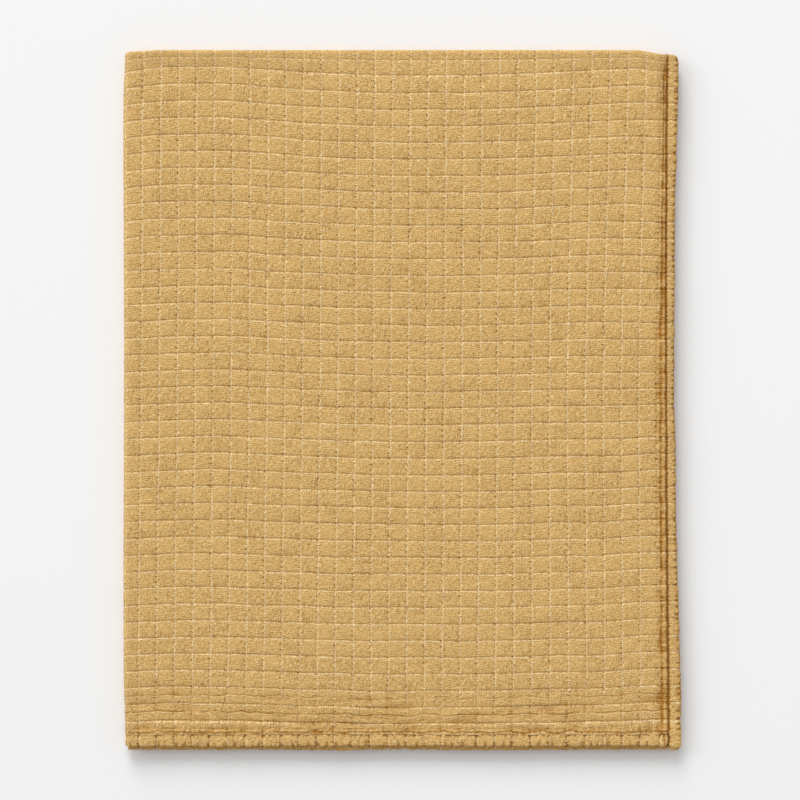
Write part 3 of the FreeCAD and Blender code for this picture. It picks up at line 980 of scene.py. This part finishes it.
def stitch_tree(material):
    """Geometry nodes that lay one arched stitch after another along a row of points."""
    tree = bpy.data.node_groups.new("Stitch row", "GeometryNodeTree")
    tree.interface.new_socket("Geometry", in_out="INPUT", socket_type="NodeSocketGeometry")
    for name, value in (("Stitch length", 4.2 * MM), ("Thread diameter", 0.5 * MM)):
        socket = tree.interface.new_socket(name, in_out="INPUT", socket_type="NodeSocketFloat")
        socket.default_value = value
        socket.subtype = "DISTANCE"
    tree.interface.new_socket("Geometry", in_out="OUTPUT", socket_type="NodeSocketGeometry")

    def node(kind, settings=None, inputs=None):
        """The first output of a new node."""
        return add_node(tree, kind, settings, inputs).outputs[0]

    def times(value, factor):
        return node("ShaderNodeMath", {"operation": "MULTIPLY"}, {0: value, 1: factor})

    def uneven(low, high, seed):
        return node("FunctionNodeRandomValue", {"data_type": "FLOAT_VECTOR"}, {
            0: low, 1: high, "Seed": seed})

    given = add_node(tree, "NodeGroupInput").outputs
    length, thick = given["Stitch length"], given["Thread diameter"]
    row = node("GeometryNodeMeshToCurve", None, {0: given[0]})
    holes = node("GeometryNodeResampleCurve", {"mode": "LENGTH"}, {"Curve": row, "Length": length})
    half, dip = times(length, 0.44), times(thick, -0.8)
    start = node("ShaderNodeCombineXYZ", None, {"X": times(half, -1.0), "Z": dip})
    crest = node("ShaderNodeCombineXYZ", None, {"Z": thick})
    end = node("ShaderNodeCombineXYZ", None, {"X": half, "Z": dip})
    arch = node("GeometryNodeCurveQuadraticBezier", None, {
        "Resolution": 5, "Start": start, "Middle": crest, "End": end})
    ring = node("GeometryNodeCurvePrimitiveCircle", {"mode": "RADIUS"}, {
        "Resolution": 6, "Radius": times(thick, 0.5)})
    stitch = node("GeometryNodeCurveToMesh", None, {
        "Curve": arch, "Profile Curve": ring, "Fill Caps": True})
    turned = node("FunctionNodeAlignRotationToVector", {"axis": "X"}, {
        "Vector": node("GeometryNodeInputTangent")})
    leaned = node("FunctionNodeRotateRotation", {"rotation_space": "LOCAL"}, {
        0: turned, 1: uneven((-0.06, -0.05, -0.13), (0.06, 0.05, 0.13), 5)})
    laid = node("GeometryNodeInstanceOnPoints", None, {
        "Points": holes, "Instance": stitch, "Rotation": leaned,
        "Scale": uneven((0.88, 0.85, 0.8), (1.06, 1.1, 1.1), 6)})
    real = node("GeometryNodeRealizeInstances", None, {0: laid})
    smooth = node("GeometryNodeSetShadeSmooth", None, {0: real})
    coloured = node("GeometryNodeSetMaterial", None, {0: smooth, "Material": material})
    add_node(tree, "NodeGroupOutput", None, {0: coloured})
    return tree


def nodes_to_mesh(name, points, edges, tree, sizes):
    """Runs a geometry node tree on a plain mesh, and gives the result as a piece of its own."""
    mesh = bpy.data.meshes.new(name)
    mesh.from_pydata(points, edges, [])
    maker = new_object(name + "_maker", mesh)
    modifier = maker.modifiers.new("Nodes", "NODES")
    modifier.node_group = tree
    for item in tree.interface.items_tree:
        if item.item_type == "SOCKET" and item.in_out == "INPUT" and item.name in sizes:
            modifier[item.identifier] = sizes[item.name]
    bpy.context.view_layer.update()
    ready = maker.evaluated_get(bpy.context.evaluated_depsgraph_get())
    made = bpy.data.meshes.new_from_object(ready)
    made.name = name
    maker.modifiers.clear()
    bpy.data.objects.remove(maker)
    bpy.data.meshes.remove(mesh)
    if not made.polygons:
        raise RuntimeError(f"{name}: the geometry nodes made nothing")
    return new_object(name, made)


class THROW_OT_stitching(bpy.types.Operator):
    """Sew the hems down, one stitch after another"""
    bl_idname = "throw.stitching"
    bl_label = "Stitching"

    def execute(self, context):
        sewing = context.scene.throw_sewing
        material = shared("spun_thread", spun_thread, sewing)
        tree = stitch_tree(material)
        sizes = {"Stitch length": sewing.stitch, "Thread diameter": sewing.thread}
        for layer in LAYERS:
            points, edges = [], []
            for row in stitch_rows(layer):
                first = len(points)
                points += row.tolist()
                edges += [(i, i + 1) for i in range(first, len(points) - 1)]
            piece = nodes_to_mesh(f"{layer.panel}_stitches", points, edges, tree, sizes)
            follow(piece, layer, f"{layer.panel}_hem_stitching")
        return {"FINISHED"}


class THROW_OT_label(bpy.types.Operator):
    """Tuck the blank care label in at the back of the bottom layer's side hem"""
    bl_idname = "throw.label"
    bl_label = "Care label"

    def execute(self, context):
        low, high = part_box("care_label")
        columns, rows = 25, 13
        x, y = np.meshgrid(np.linspace(low.x, high.x, columns), np.linspace(low.y, high.y, rows))
        middle, half = (low.z + high.z) / 2, (high.z - low.z) / 2
        ripple = 0.25 * half * np.sin((x - low.x) / (high.x - low.x) * 5.0)
        face, back = (
            np.stack([x, y, (middle + ripple + side * half * 0.6) * (1 - slump(x, y))], axis=-1)
            for side in (1, -1))
        points, faces, shown = closed_sheet(face, back, range(columns), range(rows))
        rim = len(faces) - 2 * shown
        material = shared("label_satin", satin, context.scene.throw_sewing)
        piece = make_mesh("blank_care_label", points, faces, points[:, :2] / MM, {}, rim, material)
        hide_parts("care_label")
        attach(piece, LOWER)
        return {"FINISHED"}


class THROW_OT_declare(bpy.types.Operator):
    """Gathers, for each layer, the names of the pieces that go with it, and does nothing more with them"""
    bl_idname = "throw.declare"
    bl_label = "Sheet sizes"

    def execute(self, context):
        for layer in LAYERS:
            extras = [layer.panel + end for end in ("_turned_side_hem", "_turned_end_hem", "_stitches")]
            if layer.panel == "bottom_panel":
                extras.append("blank_care_label")
        return {"FINISHED"}


class THROW_OT_stage(bpy.types.Operator):
    """Set up the pale floor, the soft light and the camera over the throw"""
    bl_idname = "throw.stage"
    bl_label = "Stage"

    @staticmethod
    def light(name, strength, turn, stage, distance):
        """A round light as wide as stage.softness. At no distance it is a sun."""
        level = math.cos(stage.key_height)
        source = Vector((-math.sin(turn) * level, math.cos(turn) * level, math.sin(stage.key_height)))
        lamp = bpy.data.lights.new(name, "AREA" if distance else "SUN")
        if distance:
            lamp.shape = "DISK"
            lamp.size = 2 * distance * math.tan(stage.softness / 2)
            lamp.energy = strength * math.pi * distance ** 2
        else:
            lamp.angle = stage.softness
            lamp.energy = strength
        made = new_object(name, lamp)
        made.rotation_mode = "QUATERNION"
        made.rotation_quaternion = source.to_track_quat("Z", "Y")
        made.location = source * (distance or SUN_HEIGHT)

    def execute(self, context):
        scene, stage = context.scene, context.scene.throw_stage
        mesh = bpy.data.meshes.new("floor")
        corners = [(x * FLOOR_REACH, y * FLOOR_REACH, 0) for x, y in ((-1, -1), (1, -1), (1, 1), (-1, 1))]
        mesh.from_pydata(corners, [], [(0, 1, 2, 3)])
        floor = new_object("floor", mesh)
        surface = Surface("pale_floor")
        shader = surface.node("ShaderNodeBsdfPrincipled", None, {
            "Base Color": (*stage.floor_colour, 1.0), "Roughness": 0.9, "Specular IOR Level": 0.0})
        surface.node("ShaderNodeOutputMaterial", None, {"Surface": shader.outputs[0]})
        mesh.materials.append(surface.material)
        self.light("window_light", stage.key, stage.key_turn, stage, stage.key_distance)
        self.light("side_light", stage.side, stage.side_turn, stage, 0)
        world = bpy.data.worlds.new("room")
        world.use_nodes = True
        background = world.node_tree.nodes["Background"]
        background.inputs["Color"].default_value = (1, 1, 1, 1)
        background.inputs["Strength"].default_value = stage.fill
        scene.world = world
        data = bpy.data.cameras.new("camera")
        camera = new_object("camera", data)
        distance = stage.camera_height - CAD_HIGH.z
        data.lens = data.sensor_width * distance / stage.picture_width
        camera.location = (CAMERA_X, 0, stage.camera_height)
        scene.camera = camera
        scene.view_settings.view_transform = "Standard"
        return {"FINISHED"}


class THROW_PT_maker(bpy.types.Panel):
    """Lists what the throw is made of"""
    bl_idname = "THROW_PT_maker"
    bl_label = "Folded throw"
    bl_space_type = "VIEW_3D"
    bl_region_type = "UI"
    bl_category = "Throw"

    def draw(self, context):
        for group in ("throw_cloth", "throw_sewing", "throw_stage"):
            box = self.layout.box()
            settings = getattr(context.scene, group)
            for name in settings.bl_rna.properties.keys():
                if name not in {"rna_type", "name"}:
                    box.prop(settings, name)
        for operator in OPERATORS:
            self.layout.operator(operator.bl_idname)


SETTINGS = {"throw_cloth": ThrowCloth, "throw_sewing": ThrowSewing, "throw_stage": ThrowStage}
OPERATORS = (THROW_OT_panels, THROW_OT_hems, THROW_OT_stitching, THROW_OT_label,
             THROW_OT_declare, THROW_OT_stage)


def register():
    for made in (*SETTINGS.values(), *OPERATORS, THROW_PT_maker):
        bpy.utils.register_class(made)
    for name, group in SETTINGS.items():
        setattr(bpy.types.Scene, name, bpy.props.PointerProperty(type=group))


def unregister():
    for name in SETTINGS:
        delattr(bpy.types.Scene, name)
    for made in (THROW_PT_maker, *reversed(OPERATORS), *SETTINGS.values()):
        bpy.utils.unregister_class(made)


def main():
    register()
    bpy.ops.throw.panels()
    bpy.ops.throw.hems()
    bpy.ops.throw.stitching()
    bpy.ops.throw.label()
    bpy.ops.throw.declare()
    bpy.ops.throw.stage()


if __name__ == "__main__":
    main()
